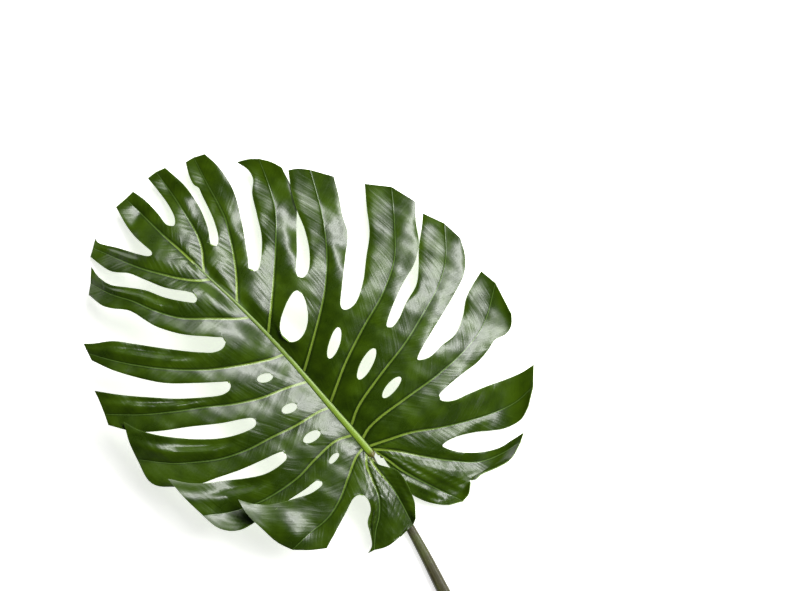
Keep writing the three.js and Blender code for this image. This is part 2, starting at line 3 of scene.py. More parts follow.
import bpy
import numpy as np
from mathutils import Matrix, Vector


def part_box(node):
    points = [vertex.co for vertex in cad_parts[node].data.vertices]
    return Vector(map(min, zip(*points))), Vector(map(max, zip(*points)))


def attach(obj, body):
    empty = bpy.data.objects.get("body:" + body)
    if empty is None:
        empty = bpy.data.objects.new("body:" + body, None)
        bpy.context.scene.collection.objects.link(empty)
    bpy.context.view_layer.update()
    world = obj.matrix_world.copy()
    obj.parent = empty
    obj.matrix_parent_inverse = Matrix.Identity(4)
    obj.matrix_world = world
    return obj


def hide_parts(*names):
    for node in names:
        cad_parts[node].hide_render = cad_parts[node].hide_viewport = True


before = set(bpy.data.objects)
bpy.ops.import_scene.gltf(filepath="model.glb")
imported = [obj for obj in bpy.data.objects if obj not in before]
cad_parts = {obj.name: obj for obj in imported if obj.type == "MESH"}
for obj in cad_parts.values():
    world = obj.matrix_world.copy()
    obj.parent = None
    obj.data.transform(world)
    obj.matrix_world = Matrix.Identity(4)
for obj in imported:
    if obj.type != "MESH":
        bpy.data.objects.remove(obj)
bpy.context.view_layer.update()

bpy.ops.object.select_all(action="DESELECT")

# A monstera leaf as picked, lying upper side up. Lengths are in millimetres until a point is placed,
# and plan points are given from the knee, where the stalk meets the blade, with +Y towards the tip.
mm = 0.001

blade = {
    "thickness": 0.8,
    # rows of points along a lobe, and columns across it: beside the vein, at most at a share of the width,
    # then evenly between, and one near the edge
    "rowsAlong": 104, "nearVein": (0, 0.5, 1.0, 1.8), "nearShare": (0, 0.06, 0.12, 0.2),
    "middleColumns": 11, "nearEdge": 1.3, "nearEdgeShare": 0.1,
    "floorGap": 1.3, "floorEase": 3.5,
    # the dome falls off from its middle at x, y; its reach to the left grows between two heights of y
    "dome": {"x": 10, "y": 118, "high": 44, "fall": 52, "long": 242,
             "right": 226, "left": (245, 265), "leftFrom": 60, "leftTo": 130},
    # the valley along the midrib deepens from the base and fades out before the tip; it is wide on the left,
    # and on the right it narrows on the way to the tip
    "valley": {"deep": (7, 26), "deepFrom": -60, "deepTo": 110, "fadeFrom": 105, "fadeTo": 215,
               "left": 72, "right": (52, 16), "rightFrom": 90, "rightTo": 200},
    # towards the tip, and again below the knee, the middle of the blade leans over to the right
    "lean": {"slope": 0.3, "wide": 45, "from": 105, "to": 215, "end": 285, "gone": 345,
             "basalSlope": 0.2, "basalFrom": -5, "basalTo": -50},
    # bulges: plan x, plan y, radius, height
    "bulges": [(-118, -12, 19, 11), (-182, 58, 26, 11)],
    # each side vein runs in a fold: its height between two veins, its slopes where the lobe is free, how much
    # it flattens outwards, and the share of the lobe's length over which it starts beside the midrib
    "fold": {"between": 0.1, "before": 0.33, "after": 0.27, "ease": 0.4, "start": 0.12},
    "loosen": 1.8, "rollLoosen": 1.5,          # how quickly a lobe takes its free form past the end of a slit
    "fallShape": 0.7, "riseShape": 1.6,        # below 1 a fall comes early, above 1 a rise comes late
    "edgeStart": 0.5,                          # how closely rows follow each other just past a slit's end
    "marginRoll": {"deep": 0.05, "from": 0.75},
    # each lobe's margin on the tip's side rolls down, on the left half, or on the stalk's side, on the right
    # half: how deep as a share of the width, between which places across, and where along the lobe most
    "rollLeft": {"deep": 0.5, "from": 0.42, "to": 0.78, "share": 0.66, "long": 0.2, "rest": 0.12},
    "rollRight": {"deep": 0.2, "from": 0.3, "to": 1.0, "share": 0.62, "long": 0.16, "rest": 0.1},
    "tipTurnUp": {"left": 2, "right": 16, "from": 0.75},
    "veinUnder": (2.2, 0.2), "veinUnderWide": 1.1,    # how far a side vein stands out below, start to end
    "veinHalfWidth": (1.25, 0.34),
    # fine waves along the vein. second, third: how strong, close and slanted the waves laid over them are.
    # lobeStep, halfStep: how far lobes, and the two halves of a lobe, are out of step
    "corrugation": {"deep": 0.09, "spacing": 6.5, "lean": 1.0, "lobeStep": 1.7, "halfStep": 0.9,
                    "second": (0.7, 0.61, 9), "third": (0.5, 1.57, 7)},
    "pleatSpacing": 10, "pleatEase": 0.2, "pleatTurn": 0.04, "reliefShape": 0.7,
    # gentle waves in the plane: each one's direction x, y and where it starts
    "swell": {"high": 0.32, "spacing": 23, "evenOut": 2.4, "waves": [
        (1, 0.2, 0.3), (-0.35, 0.9, 1.9), (0.75, 0.8, 4.1), (0.6, -1.1, 2.2), (1.7, 0.5, 0.7),
        (-0.6, 1.6, 5.2)]},
    "marginWave": {"high": 1.1, "spacing": 46},
    "edgeTint": 30,                            # how far the pale edge stays away where two lobes are one
}

midrib = {
    "line": [(-2, -10), (-1, 10), (0, 60), (1.5, 120), (1.5, 170), (0, 205), (-3, 240), (-4.5, 262)],
    "half": (4.3, 0.8), "lap": 0.3, "roundEnd": 7, "sunk": 0.5, "crown": (1.7, 0.3), "crownShape": 1.4,
    "deep": (6.2, 1.4), "lowest": 0.2, "sides": 28, "stations": 150,
}

# Lobes, clockwise from the notch at the stalk.
# start: where the vein leaves the midrib. side: which side of the midrib, 0 for the lobe at its end.
# vein, before, after: outwards along the vein and along the lobe's two free edges, from the end of the slit
# to the corner. beforeEnd, afterEnd: the outer margin between the vein's end and that corner.
# rise raises the lobe outwards, and liftBefore and liftAfter a margin over its neighbour. fallBefore and
# fallAfter lower a margin: how far, from and to which share of the lobe's length. rollDeep replaces the usual
# roll. pleat: how high, and from and to which share of the length.
lobes = [
    # basal left, inner
    {"side": -1, "start": -7,
     "vein": [(-8, -20), (-10, -50), (-20, -90)],
     "before": [(-4.8, -14), (-3, -20), (2, -28), (6.5, -36), (6.5, -46), (3, -59), (-3, -74), (-13, -86)],
     "after": [(-38, -90)], "liftBefore": 6, "pleat": (0.35, 0.1, 1)},
    # basal left
    {"side": -1, "start": -3,
     "vein": [(-13, -11), (-19, -26), (-26, -44), (-38, -58), (-52, -68), (-67, -82)],
     "before": [(-39, -90)], "beforeEnd": [(-55, -88)],
     "after": [(-36, -39), (-41, -48), (-52, -56), (-58, -66), (-66, -77), (-74, -80)],
     "pleat": (0.3, 0.1, 1)},
    # left 7
    {"side": -1, "start": 4,
     "vein": [(-16, 2), (-36, -8), (-58, -19), (-79, -24.5), (-104, -23.5), (-128, -24)],
     "before": [(-39, -28), (-45, -27), (-62, -33), (-85, -41), (-100.5, -46.5)], "beforeEnd": [(-115, -36)],
     "after": [(-60, 5), (-74, 6), (-88, 12), (-100, 18), (-115, 27), (-126, 39), (-133.5, 52)],
     "afterEnd": [(-134, -8), (-136, 14), (-137, 34)], "rise": 9, "liftAfter": 1, "rollDeep": 0.1},
    # left 6
    {"side": -1, "start": 22,
     "vein": [(-20, 28.5), (-47, 29), (-73, 27), (-100, 30), (-123, 36), (-150, 48), (-172, 64)],
     "before": [(-61, 11.5), (-76, 13), (-92, 15.5), (-115, 19), (-138, 24)],
     "beforeEnd": [(-169, 44), (-161, 32), (-150, 26)],
     "after": [(-69, 49.5), (-80, 49), (-96, 52.5), (-112, 61), (-133, 76), (-147, 86), (-160, 98),
               (-173, 116)],
     "afterEnd": [(-173.5, 90)], "rise": 8, "liftAfter": 3},
    # left 5
    {"side": -1, "start": 59,
     "vein": [(-13, 62.5), (-40, 68), (-67, 76), (-93, 83), (-120, 95), (-143, 111), (-160, 125),
              (-184, 152)],
     "before": [(-67, 57), (-73, 60), (-89, 65), (-113, 73), (-136, 83), (-155, 91), (-175, 106)],
     "beforeEnd": [(-190, 128), (-187, 118)],
     "after": [(-70, 96), (-81, 98), (-100, 107), (-120, 122), (-141, 144), (-154, 161), (-162, 175),
               (-167, 190)],
     "afterEnd": [(-177, 171)], "liftAfter": 5},
    # left 4
    {"side": -1, "start": 94,
     "vein": [(-21, 103), (-47, 113), (-73, 128), (-96, 145), (-125, 165), (-150, 184), (-177, 209)],
     "before": [(-67, 103.5), (-74, 109), (-93, 120.5), (-120, 140), (-149, 160), (-165, 174), (-181.5, 198)],
     "after": [(-65, 141), (-73, 142), (-88, 152), (-110, 170), (-130, 190), (-150, 211.5), (-168.5, 234)],
     "afterEnd": [(-172, 222)]},
    # left 3
    {"side": -1, "start": 131,
     "vein": [(-13, 136), (-40, 152), (-67, 171), (-91, 193), (-116, 221), (-134, 245), (-148, 267)],
     "before": [(-60, 147.5), (-66, 153), (-85, 169), (-108, 190), (-126, 214), (-141, 239), (-150, 259)],
     "after": [(-41, 177), (-50, 180), (-59, 188), (-80, 211), (-104, 240), (-120, 259), (-137, 271),
               (-145, 278)]},
    # left 2
    {"side": -1, "start": 183,
     "vein": [(-9, 189), (-31, 209), (-52, 229), (-67, 253), (-77, 275), (-90, 297), (-99, 320)],
     "before": [(-33, 184), (-40, 192), (-62, 216), (-76, 239), (-80, 251), (-86, 270), (-98, 284.5),
                (-104, 294),
                (-108, 312)],
     "after": [(-30, 231), (-36, 237), (-50, 256), (-60, 275), (-72, 290), (-84, 305), (-88, 320),
               (-87, 333)]},
    # left 1
    {"side": -1, "start": 239,
     "vein": [(-13, 245.5), (-25, 259), (-36, 275), (-48, 294), (-61, 320), (-73, 346)],
     "before": [(-24.5, 237), (-28, 244), (-43, 263), (-52, 281), (-61, 299.5), (-74, 314), (-79, 330),
                (-81, 341)],
     "after": [(-34, 299), (-41, 308), (-53, 328), (-65, 347), (-64, 352)]},
    # tip
    {"side": 0, "start": 262,
     "vein": [(-6, 280), (-9, 305), (-11, 330), (-13, 359.5)],
     "before": [(-29, 301), (-30, 309), (-32, 325), (-31, 340), (-26, 360)],
     "after": [(1, 311), (1.5, 325), (1, 345), (-2, 360)]},
    # right 1
    {"side": 1, "start": 249,
     "vein": [(1, 254), (11, 268), (17, 282), (21, 300), (25, 325), (29, 359)],
     "before": [(11, 310), (15, 323), (17, 340), (18.5, 360)],
     "after": [(21, 263.5), (30, 280), (38, 303), (41.5, 330), (39, 356)], "fallBefore": (3, 0.15, 0.4)},
    # right 2
    {"side": 1, "start": 203,
     "vein": [(17, 221), (29, 238), (39, 255), (49, 274), (54, 290), (60, 315), (68, 344)],
     "before": [(29, 262), (39, 280), (48, 310), (50.5, 318), (49, 323.5), (52, 334), (58.5, 346)],
     "after": [(33.5, 219), (40, 229), (60, 261), (75, 290), (80, 312), (80.5, 325), (79, 339)],
     "fallBefore": (5, 0.2, 0.5)},
    # right 3
    {"side": 1, "start": 158,
     "vein": [(21, 173), (50, 200), (75, 225), (91, 243), (104, 266), (117, 297.5)],
     "before": [(40, 213), (48, 218), (65, 236), (77, 257), (88, 276.5), (98, 286), (101, 296), (98, 310)],
     "beforeEnd": [(108, 305)],
     "after": [(68, 186), (80, 198), (98, 219), (112, 234), (121, 250), (128.5, 275)],
     "afterEnd": [(124, 287)], "fallBefore": (6, 0.3, 0.55), "fallAfter": (5, 0.35, 0.6)},
    # right 4
    {"side": 1, "start": 104,
     "vein": [(21, 114), (57, 137), (76, 151), (100, 174), (119, 199), (133, 223), (148.5, 253.5)],
     "before": [(69, 175.5), (77, 177), (91, 191), (103, 212), (110, 231), (120, 251), (131.5, 268.5)],
     "beforeEnd": [(140, 263)],
     "after": [(78, 128.5), (91, 141), (117, 164), (133, 178.5), (142, 197), (152, 213), (162, 232)],
     "liftBefore": 2, "fallBefore": (8, 0.4, 0.65), "fallAfter": (7, 0.6, 0.85)},
    # right 5
    {"side": 1, "start": 62,
     "vein": [(21, 71), (41, 81), (80, 96), (117, 108), (150, 126), (171, 148), (199, 184)],
     "before": [(81, 120.5), (91, 120), (110, 130), (130, 147), (150, 164), (166, 186), (180.5, 205)],
     "after": [(103, 84.5), (121, 94), (143, 103), (162, 109), (179, 120), (194, 141), (207, 156)],
     "fallBefore": (11, 0.5, 0.75), "fallAfter": (6, 0.75, 1)},
    # right 6
    {"side": 1, "start": 30,
     "vein": [(21, 39), (60, 48), (100, 55), (135, 65), (164, 75), (189, 90), (214, 119)],
     "before": [(102, 76.5), (113, 78), (129, 85), (150, 92), (164, 104), (177, 118), (194, 132),
                (204.5, 142)],
     "after": [(103, 37), (124, 44), (143, 49.5), (171, 58), (194, 67), (208, 81), (216, 97)],
     "fallBefore": (11, 0.58, 0.84), "fallAfter": (5, 0.75, 1)},
    # right 7
    {"side": 1, "start": 12,
     "vein": [(12, 15), (28, 16), (64, 12.5), (108, 8), (150, 9), (179, 17), (211.5, 38)],
     "before": [(102, 31), (110, 27.5), (126, 28), (145, 27), (163, 35), (178, 46.5), (193, 52.5), (209, 57)],
     "after": [(91, -8), (99, -7), (123, -8), (143, -10), (160, -8), (172, -5), (184, -8.5), (194, -6),
               (202, 3)],
     "pleat": (0.5, -0.15, 0.08), "fallBefore": (11, 0.58, 0.84), "fallAfter": (5, 0.75, 1)},
    # right 8
    {"side": 1, "start": 1,
     "vein": [(18, -5.5), (43, -17), (71, -35.5), (100, -51.5), (123, -62), (145, -68), (168, -67.5)],
     "before": [(91, -17), (98, -22.5), (114, -28), (133, -35), (154, -44), (170, -49), (184, -51)],
     "after": [(63, -49), (76, -53), (93, -63), (106, -73), (118, -80.5), (136, -84.5), (151, -79)]},
    # right 9
    {"side": 1, "start": -4,
     "vein": [(9, -10), (19, -21), (37, -46), (57, -71), (74, -88), (95, -97), (120, -101)],
     "before": [(59, -54), (67, -67), (82, -81.5), (100, -91.5), (115, -94), (129, -96)],
     "after": [(56, -96.5), (60, -98)], "afterEnd": [(101, -107), (82, -103), (68, -98)],
     "pleat": (0.2, 0, 1)},
    # basal right
    {"side": 1, "start": -7.5,
     "vein": [(6, -20), (10, -40), (18, -64), (27, -88), (35, -106)],
     "before": [(54, -96.5), (50, -100)], "beforeEnd": [(44, -104.5)],
     "after": [(4.5, -17), (3, -27), (3.5, -45), (0, -62), (5, -79), (12, -90), (22, -99)],
     "pleat": (0.5, 0, 1)},
]

# Slits, each between a lobe and the next. end: the inner end of the slit. hole: the opening nearer the
# midrib, its centre, half length and half width, and how much fuller its end nearer the midrib is.
slits = [
    {"end": (-38, -89.2)},
    {"end": (-36, -32)},
    {"end": (-58.5, 8), "hole": {"at": (-33, 17), "long": 7, "wide": 3.2}},
    {"end": (-66.5, 53.5), "hole": {"at": (-35, 48.5), "long": 10, "wide": 5.2}},
    {"end": (-66.5, 99.5), "hole": {"at": (-32.5, 85.5), "long": 8.5, "wide": 4.8}},
    {"end": (-60.5, 144), "hole": {"at": (-30, 125.5), "long": 8.5, "wide": 4.6}},
    {"end": (-34, 180)},
    {"end": (-26, 232.5)},
    {"end": (-30.5, 298)},
    {"end": (6, 305.5)},
    {"end": (24, 260)},
    {"end": (35.5, 214.5)},
    {"end": (65.5, 179.5), "hole": {"at": (35.5, 151.5), "long": 27, "wide": 13.5, "full": 0.25}},
    {"end": (77, 124), "hole": {"at": (47, 104), "long": 17, "wide": 5.5}},
    {"end": (98.5, 80.5), "hole": {"at": (57, 66), "long": 18, "wide": 6}},
    {"end": (99, 34), "hole": {"at": (60, 31), "long": 14, "wide": 5}},
    {"end": (88.5, -12)},
    {"end": (58, -49.5)},
    {"end": (54, -95)},
]


def partWay(u, v, t, low, high):
    # from u at low to v at high
    return ((high - t) * u + (t - low) * v) / (high - low)


def lineThrough(points, perSpan=40):
    # a smooth line through the points, with its place at each share of its length
    p = np.array(points, float)
    ends = np.vstack([2 * p[0] - p[1], p, 2 * p[-1] - p[-2]])
    parts = []
    for a, b, c, d in zip(ends, ends[1:], ends[2:], ends[3:]):
        knots = np.cumsum([0] + [math.sqrt(np.linalg.norm(q - r)) for q, r in ((b, a), (c, b), (d, c))])
        t = np.linspace(knots[1], knots[2], perSpan, endpoint=False)[:, None]
        pairs = ((a, b), (b, c), (c, d))
        ab, bc, cd = (partWay(u, v, t, knots[i], knots[i + 1]) for i, (u, v) in enumerate(pairs))
        abc, bcd = partWay(ab, bc, t, knots[0], knots[2]), partWay(bc, cd, t, knots[1], knots[3])
        parts.append(partWay(abc, bcd, t, knots[1], knots[2]))
    dense = np.vstack(parts + [p[-1:]])
    run = np.concatenate([[0], np.cumsum(np.linalg.norm(np.diff(dense, axis=0), axis=1))])
    return {"points": dense, "share": run / run[-1], "length": run[-1]}


def at(line, share):
    share = np.clip(share, 0, 1)
    return np.stack([np.interp(share, line["share"], column) for column in line["points"].T], axis=-1)


def nearest(line, point):
    return line["share"][np.argmin(np.linalg.norm(line["points"] - np.array(point, float), axis=1))]


def offLine(line, places):
    # how far each place is from the line, and how far along the line its nearest point is
    spots = line["points"][::4]      # every fourth point is close enough
    gaps = np.linalg.norm(places[..., None, :] - spots, axis=-1)
    i = np.clip(np.argmin(gaps, axis=-1), 1, len(spots) - 2)
    ahead = spots[i + 1] - spots[i - 1]
    ahead /= np.linalg.norm(ahead, axis=-1, keepdims=True)
    onward = np.sum((places - spots[i]) * ahead, axis=-1)
    run = line["share"][::4][i] * line["length"]
    onward = np.clip(onward, -run, line["length"] - run)
    off = places - spots[i] - onward[..., None] * ahead
    return np.linalg.norm(off, axis=-1), run + onward


def smooth(t):
    t = np.clip(t, 0, 1)
    return t * t * (3 - 2 * t)


def blend(pair, t):
    return pair[0] + (pair[1] - pair[0]) * t


ribLine = lineThrough(midrib["line"])
ribBase, ribEnd = midrib["line"][0][1], midrib["line"][-1][1]


def ribX(y):
    return np.interp(y, ribLine["points"][:, 1], ribLine["points"][:, 0])


def alongRib(y):
    return np.clip((y - ribBase) / (ribEnd - ribBase), 0, 1)


def ribSide(side, y):
    return (float(ribX(min(y, ribEnd)) + side * blend(midrib["half"], alongRib(y))), y)


def between(value, low, high):
    # 0 below low, 1 above high, and smooth from one to the other
    return smooth((value - low) / (high - low))


def domeHeight(x, y):
    dome, valley, lean = blade["dome"], blade["valley"], blade["lean"]
    leftReach = blend(dome["left"], between(y, dome["leftFrom"], dome["leftTo"]))
    reach = np.where(x > dome["x"], dome["right"], leftReach)
    r2 = ((x - dome["x"]) / reach) ** 2 + ((y - dome["y"]) / dome["long"]) ** 2
    offRib = x - ribX(y)
    rightWide = blend(valley["right"], between(y, valley["rightFrom"], valley["rightTo"]))
    wide = np.where(offRib < 0, valley["left"], rightWide)
    fade = 1 - between(y, valley["fadeFrom"], valley["fadeTo"])
    deep = blend(valley["deep"], between(y, valley["deepFrom"], valley["deepTo"])) * fade
    slope = lean["slope"] * between(y, lean["from"], lean["to"]) * (1 - between(y, lean["end"], lean["gone"]))
    slope = slope + lean["basalSlope"] * between(-y, -lean["basalFrom"], -lean["basalTo"])
    leant = slope * lean["wide"] * np.tanh(offRib / lean["wide"])
    bulged = sum(
        high * np.exp(-((x - a) ** 2 + (y - b) ** 2) / size ** 2) for a, b, size, high in blade["bulges"])
    return dome["high"] - dome["fall"] * r2 * r2 - deep * np.exp(-np.abs(offRib) / wide) - leant + bulged


def laidDown(z):
    # high up this changes nothing, and low down it eases the leaf onto the surface
    gap, ease = blade["floorGap"], blade["floorEase"]
    return gap + ease * np.log1p(np.exp(np.minimum(50, (z - gap) / ease)))


veins = []
for lobe in lobes:
    start = ribSide(lobe["side"], lobe["start"]) if lobe["side"] else midrib["line"][-1]
    veins.append(lineThrough([start, *lobe["vein"]]))


def alongSlit(k):
    # both edges of slit k at each row: one line as far as the slit's end, apart at a hole, then two edges
    before, after, slit = lobes[k], lobes[k + 1], slits[k]
    side = before["side"] or after["side"]
    root = ribSide(side, (before["start"] + after["start"]) / 2)
    end, rows = slit["end"], blade["rowsAlong"]
    hole = slit.get("hole")
    shared = lineThrough([root, hole["at"], end] if hole else [root, end])
    rowsIn = round(rows * (nearest(veins[k], end) + nearest(veins[k + 1], end)) / 2)
    opened, across = np.zeros(rowsIn + 1), np.zeros((rowsIn + 1, 2))
    share = np.linspace(0, 1, rowsIn + 1)
    if hole:
        half, middle = hole["long"] / shared["length"], nearest(shared, hole["at"])
        first = max(3, round(rowsIn * (middle - half)))
        last = rowsIn - max(3, round(rowsIn * (1 - middle - half)))
        around = -np.cos(np.linspace(0, math.pi, last - first + 1))
        share[:first + 1] = np.linspace(0, middle - half, first + 1)
        share[first:last + 1] = middle + half * around
        share[last:] = np.linspace(middle + half, 1, rowsIn - last + 1)
        along = at(shared, share + 0.01) - at(shared, share - 0.01)
        along /= np.linalg.norm(along, axis=1)[:, None]
        across = np.stack([along[:, 1], -along[:, 0]], axis=1)
        fuller = 1 - hole.get("full", 0) * around
        opened[first:last + 1] = hole["wide"] * np.sqrt(np.maximum(0, 1 - around ** 2)) * fuller
    centre = at(shared, share)
    edge = lineThrough([*before["after"][::-1], end, *after["before"]])
    split = nearest(edge, end)
    t = np.linspace(0, 1, rows - rowsIn + 1)[1:]
    eased = t * (blade["edgeStart"] + (1 - blade["edgeStart"]) * t)
    outA, outB = at(edge, split * (1 - eased)), at(edge, split + (1 - split) * eased)
    return {
        "a": np.vstack([centre - across * opened[:, None], outA]),
        "b": np.vstack([centre + across * opened[:, None], outB]),
        "centreA": np.vstack([centre, outA]), "centreB": np.vstack([centre, outB]), "rowsIn": rowsIn,
    }


def alongNotch(lobe, points):
    edge = lineThrough([ribSide(lobe["side"], ribBase), *points])
    line = at(edge, np.linspace(0, 1, blade["rowsAlong"] + 1))
    return {"a": line, "b": line, "centreA": line, "centreB": line, "rowsIn": 0}


slitLines = [alongSlit(k) for k in range(len(slits))]
notchLeft = alongNotch(lobes[0], lobes[0]["before"])
notchRight = alongNotch(lobes[-1], lobes[-1]["after"])


def columnShares(width):
    # places from the vein to the edge: close together beside the vein and at the edge
    near = np.array(blade["nearVein"])
    caps = np.array(blade["nearShare"])
    first = np.minimum(near[None, :] / width[:, None], caps[None, :])
    last = 1 - np.minimum(blade["nearEdge"] / width, blade["nearEdgeShare"])
    steps = np.linspace(0, 1, blade["middleColumns"] + 1)[1:]
    middle = first[:, -1:] + (last[:, None] - first[:, -1:]) * steps[None, :]
    return np.hstack([first, middle, np.ones((len(width), 1))])


def gentleWaves(x, y):
    # an uneven, slow waviness in the plane, the same at a point whichever lobe it belongs to
    swell = blade["swell"]
    k = 2 * math.pi / swell["spacing"]
    waves = (np.sin(k * (a * x + b * y) + c) / math.hypot(a, b) for a, b, c in swell["waves"])
    return sum(waves) / swell["evenOut"]


def halfLobe(i, before):
    # rows of points on the upper face from the vein to the edge, with what the material needs to know of each
    lobe, vein, rows = lobes[i], veins[i], blade["rowsAlong"]
    sides = ([notchLeft] + slitLines + [notchRight])[i:i + 2]
    slit, neighbour = (sides[0], i - 1) if before else (sides[1], i + 1)
    neighbour = veins[neighbour] if 0 <= neighbour < len(veins) else None
    key, lift = ("b", lobe.get("liftBefore", 0)) if before else ("a", lobe.get("liftAfter", 0))
    s = np.linspace(0, 1, rows + 1)
    onVein, onEdge = at(vein, s), slit[key]
    centre = slit["centreB" if before else "centreA"]
    corner = onEdge[-1]
    margin = lineThrough([vein["points"][-1], *lobe.get("beforeEnd" if before else "afterEnd", []), corner])
    width = np.maximum(1e-3, np.linalg.norm(onEdge - onVein, axis=1))
    reach = np.maximum(1e-3, np.linalg.norm(centre - onVein, axis=1))
    u = columnShares(width)
    bulge = at(margin, u) - blend((vein["points"][-1], corner), u[..., None])
    p = blend((onVein[:, None], onEdge[:, None]), u[..., None]) + bulge * (s ** 3)[:, None, None]
    x, y = p[..., 0], p[..., 1]

    # past the slit's end the folds go on as if the two lobes were still one
    rowsIn = slit["rowsIn"]
    across, along = offLine(vein, p)
    edgeOff = np.maximum(1e-3, offLine(vein, onEdge)[0])[:, None]
    half = np.maximum(1e-3, offLine(vein, centre)[0])
    apart = half if neighbour is None else np.linalg.norm(onVein - at(neighbour, s), axis=1)
    if neighbour is not None:
        half[rowsIn:] = half[rowsIn] * apart[rowsIn:] / apart[rowsIn]
    v = np.minimum(1, across / half[:, None])
    free = np.clip((np.arange(rows + 1) - rowsIn) / (rows - rowsIn), 0, 1)[:, None]
    loose = smooth(blade["loosen"] * free)
    outFrom = max(side["rowsIn"] for side in sides)
    out = np.clip((np.arange(rows + 1) - outFrom) / (rows - outFrom), 0, 1)[:, None]
    fold, side = blade["fold"], "before" if before else "after"
    inner = 0 if neighbour is None else fold["between"] * apart[:, None] * np.sin(math.pi / 2 * v)
    outer = fold[side] * across * (1 - fold["ease"] * v) - rollShare(lobe, before, s, u, free) * edgeOff
    folded = smooth(s / fold["start"])[:, None] * ((1 - loose) * inner + loose * outer)

    # waxy relief: fine corrugation, gentle waves and, on some lobes, pleats
    grain, wave = blade["corrugation"], blade["marginWave"]
    phase = grain["lobeStep"] * i + (grain["halfStep"] if before else 0)
    lines = 2 * math.pi * (along - grain["lean"] * across) / grain["spacing"] + phase
    (strong2, close2, slant2), (strong3, close3, slant3) = grain["second"], grain["third"]
    uneven = np.sin(lines) + strong2 * np.sin(close2 * lines + across / slant2 + 2 * phase) \
        + strong3 * np.sin(close3 * lines - across / slant3)
    arch = np.sin(math.pi * np.minimum(1, v)) ** blade["reliefShape"]
    high, first, last = lobe.get("pleat", (0, 0, 1))
    ease = blade["pleatEase"]
    pleats = 2 * math.pi * across / blade["pleatSpacing"] + 2 * phase + blade["pleatTurn"] * along
    pleated = high * np.sin(pleats)
    pleated = pleated * (smooth((s - first) / ease) * (1 - smooth((s - last) / ease)))[:, None]
    relief = grain["deep"] * uneven * arch + blade["swell"]["high"] * gentleWaves(x, y) + pleated * arch
    waved = wave["high"] * np.sin(2 * math.pi * along / wave["spacing"] + 2 * phase) * u ** 3 * loose

    deep, first, last = lobe.get("fallBefore" if before else "fallAfter", (0, 0, 1))
    fallen = deep * between(s, first, last)[:, None] * u ** blade["fallShape"] * loose
    turnUp = blade["tipTurnUp"]
    turned = turnUp["left" if lobe["side"] < 0 else "right"] \
        * np.maximum(0, (s[:, None] - turnUp["from"]) / (1 - turnUp["from"])) ** 2
    raised = lift * np.sin(math.pi / 2 * free) * u + lobe.get("rise", 0) * out ** blade["riseShape"] + turned
    z = laidDown(domeHeight(x, y) + folded + relief + waved - fallen) + raised

    under = blend(blade["veinUnder"], s)[:, None] * np.exp(-(across / blade["veinUnderWide"]) ** 2)
    thickest = blade["thickness"] + blade["veinUnder"][0]
    veinWidth = blend(blade["veinHalfWidth"], s)[:, None]
    joined = 1 - np.minimum(1, (reach - width)[:, None] + 50 * free)
    return {
        "x": x, "y": y, "z": z, "across": across, "along": along,
        "thick": (blade["thickness"] + under) / thickest, "veinAcross": across / veinWidth,
        "edgeAcross": (1 - u) * width[:, None] + blade["edgeTint"] * joined, "lobeShare": s[:, None] + 0 * u,
    }


def rollShare(lobe, before, s, u, free):
    # how far the margin rolls down, as a share of the half's width
    margin = blade["marginRoll"]
    rolled = margin["deep"] * np.maximum(0, (u - margin["from"]) / (1 - margin["from"])) ** 2
    if before:
        return rolled
    roll = blade["rollLeft" if lobe["side"] < 0 else "rollRight"]
    most = np.exp(-((s - roll["share"]) / roll["long"]) ** 2)
    strength = (roll["rest"] + (1 - roll["rest"]) * most)[:, None] * smooth(blade["rollLoosen"] * free)
    return rolled + strength * lobe.get("rollDeep", roll["deep"]) * between(u, roll["from"], roll["to"])


def colour(hexValue):
    # an sRGB hex colour as linear red, green, blue, alpha
    parts = [int(hexValue[i:i + 2], 16) / 255 for i in (0, 2, 4)]
    return tuple(c / 12.92 if c <= 0.04045 else ((c + 0.055) / 1.055) ** 2.4 for c in parts) + (1,)


def addSheet(name, points, values, flip):
    # a grid primitive, each of whose vertices goes to its place in the rows of points
    rows, columns = points.shape[:2]
    bpy.ops.mesh.primitive_grid_add(x_subdivisions=columns - 1, y_subdivisions=rows - 1, size=1)
    sheet = bpy.context.object
    sheet.name = name
    mesh = sheet.data
    flat = np.empty(3 * len(mesh.vertices))
    mesh.vertices.foreach_get("co", flat)
    spots = flat.reshape(-1, 3)
    column = np.rint((spots[:, 0] + 0.5) * (columns - 1)).astype(int)
    row = np.rint((spots[:, 1] + 0.5) * (rows - 1)).astype(int)
    mesh.vertices.foreach_set("co", (points[row, column] * mm).ravel())
    for key, table in values.items():
        data = mesh.attributes.new(key, "FLOAT", "POINT").data
        data.foreach_set("value", table[row, column].astype(np.float32))
    if flip:
        bpy.ops.object.mode_set(mode="EDIT")
        bpy.ops.mesh.select_all(action="SELECT")
        bpy.ops.mesh.flip_normals()
        bpy.ops.object.mode_set(mode="OBJECT")
    return sheet


def mapPlaces(sheet, across, along):
    # the sheet's UV map holds metres across and along its vein, so that a pattern can follow the vein
    mesh = sheet.data
    layer = mesh.uv_layers[0] if mesh.uv_layers else mesh.uv_layers.new()
    layer.name = "veinMap"
    corner = np.empty(len(mesh.loops), int)
    mesh.loops.foreach_get("vertex_index", corner)
    values = []
    for key in (across, along):
        point = np.empty(len(mesh.vertices), np.float32)
        mesh.attributes[key].data.foreach_get("value", point)
        values.append(point[corner] * mm)
    layer.data.foreach_set("uv", np.stack(values, axis=1).ravel())


